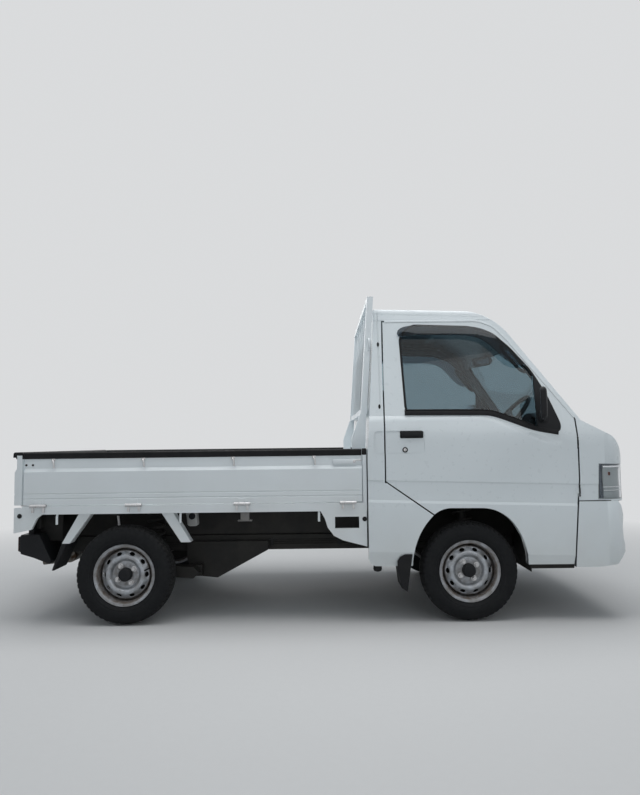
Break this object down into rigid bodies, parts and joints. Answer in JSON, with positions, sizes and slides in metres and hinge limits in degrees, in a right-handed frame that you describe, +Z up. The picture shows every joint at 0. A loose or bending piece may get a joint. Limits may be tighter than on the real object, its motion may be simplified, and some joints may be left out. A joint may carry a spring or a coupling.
{
  "type": "kei pickup truck with drop-side bed",
  "caption": "Small cab-over pickup truck with a hollow cab, drop-side cargo bed, guard frame behind the cab, opening doors, steered front wheels and free-turning wheels.",
  "frame": {"origin": "on the ground under the middle of the truck", "axes": "+X to the front, +Y to the truck's left, +Z up"},
  "size_m": [3.3949, 1.762, 1.8049],
  "materials": {
    "white_paint": "gloss white body paint",
    "bed_paint": "white paint, scuffed",
    "black_plastic": "grained black plastic",
    "black_rubber": "black rubber",
    "tyre": "worn black tyre rubber",
    "wheel_steel": "silver paint with rust",
    "dark_steel": "black chassis paint with dust",
    "bright_steel": "zinc plated steel",
    "cast_metal": "cast metal",
    "glass": "green tinted safety glass",
    "lamp_clear": "clear lamp cover",
    "lamp_red": "red lamp cover",
    "seat_fabric": "dark grey seat cloth",
    "grey_plastic": "dark grey grained plastic"
  },
  "bodies": {
    "truck": {"bed_floor": "bed_paint", "cab_floor": "white_paint", "cab_rear_panel": "white_paint", "chassis_frame": "dark_steel", "dashboard": "grey_plastic", "engine": "cast_metal", "front_arms": "dark_steel", "front_bumper": "white_paint", "front_flaps": "black_rubber", "fuel_tank": "dark_steel", "gate_hinges": "bright_steel", "guard_frame": "bed_paint", "headlamp_housings": "grey_plastic", "headlamps": "lamp_clear", "interior_mirror": "black_plastic", "mudguard_stays": "bed_paint", "nose_panel": "white_paint", "rear_arms": "dark_steel", "rear_flaps": "black_rubber", "rear_window": "glass", "roof_panel": "white_paint", "seat_backs": "seat_fabric", "seat_cushions": "seat_fabric", "silencer": "dark_steel", "steering_column": "grey_plastic", "tail_lamps": "lamp_red", "windscreen": "glass", "windscreen_frame": "white_paint"},
    "door_right": {"door_right": "white_paint", "door_glass_right": "glass", "mirror_right": "black_plastic"},
    "door_left": {"door_left": "white_paint", "door_glass_left": "glass", "mirror_left": "black_plastic"},
    "side_gate_right": {"side_gate_right": "bed_paint", "side_gate_cap_right": "black_rubber"},
    "side_gate_left": {"side_gate_left": "bed_paint", "side_gate_cap_left": "black_rubber"},
    "tail_gate": {"tail_gate": "bed_paint", "tail_gate_cap": "black_rubber"},
    "knuckle_right": {"front_knuckle_right": "dark_steel"},
    "knuckle_left": {"front_knuckle_left": "dark_steel"},
    "steering_wheel": {"steering_wheel": "black_plastic"},
    "wheel_front_right": {"tyre_front_right": "tyre", "rim_front_right": "wheel_steel"},
    "wheel_front_left": {"tyre_front_left": "tyre", "rim_front_left": "wheel_steel"},
    "wheel_rear_right": {"tyre_rear_right": "tyre", "rim_rear_right": "wheel_steel"},
    "wheel_rear_left": {"tyre_rear_left": "tyre", "rim_rear_left": "wheel_steel"}
  },
  "joints": [
    {"name": "door_right_hinge", "type": "hinge", "parent": "truck", "child": "door_right", "pos_m": [1.404, -0.732, 0.83], "axis": [0, 0, 1], "range_deg": [0, 65]},
    {"name": "door_left_hinge", "type": "hinge", "parent": "truck", "child": "door_left", "pos_m": [1.404, 0.732, 0.83], "axis": [0, 0, -1], "range_deg": [0, 65]},
    {"name": "side_gate_right_hinge", "type": "hinge", "parent": "truck", "child": "side_gate_right", "pos_m": [-0.7, -0.724, 0.65], "axis": [1, 0, 0], "range_deg": [0, 170]},
    {"name": "side_gate_left_hinge", "type": "hinge", "parent": "truck", "child": "side_gate_left", "pos_m": [-0.7, 0.724, 0.65], "axis": [-1, 0, 0], "range_deg": [0, 170]},
    {"name": "tail_gate_hinge", "type": "hinge", "parent": "truck", "child": "tail_gate", "pos_m": [-1.6895, 0, 0.65], "axis": [0, -1, 0], "range_deg": [0, 170]},
    {"name": "steer_right", "type": "hinge", "parent": "truck", "child": "knuckle_right", "pos_m": [0.803, -0.555, 0.19], "axis": [0, 0.1047, 0.9945], "range_deg": [-32, 32]},
    {"name": "steer_left", "type": "hinge", "parent": "truck", "child": "knuckle_left", "pos_m": [0.803, 0.555, 0.19], "axis": [0, -0.1047, 0.9945], "range_deg": [-32, 32]},
    {"name": "steering_wheel_turn", "type": "hinge", "parent": "truck", "child": "steering_wheel", "pos_m": [1.135, -0.345, 1.1], "axis": [-0.7538, 0, 0.6571], "range_deg": [-498, 498]},
    {"name": "spin_front_right", "type": "hinge", "parent": "knuckle_right", "child": "wheel_front_right", "pos_m": [0.803, -0.642, 0.268], "axis": [0, 1, 0], "continuous": true},
    {"name": "spin_front_left", "type": "hinge", "parent": "knuckle_left", "child": "wheel_front_left", "pos_m": [0.803, 0.642, 0.268], "axis": [0, 1, 0], "continuous": true},
    {"name": "spin_rear_right", "type": "hinge", "parent": "truck", "child": "wheel_rear_right", "pos_m": [-1.082, -0.642, 0.268], "axis": [0, 1, 0], "continuous": true},
    {"name": "spin_rear_left", "type": "hinge", "parent": "truck", "child": "wheel_rear_left", "pos_m": [-1.082, 0.642, 0.268], "axis": [0, 1, 0], "continuous": true}
  ],
  "couplings": [
    {"joint": "steer_left", "follows": "steer_right", "ratio": 1},
    {"joint": "steering_wheel_turn", "follows": "steer_right", "ratio": 15.5}
  ]
}
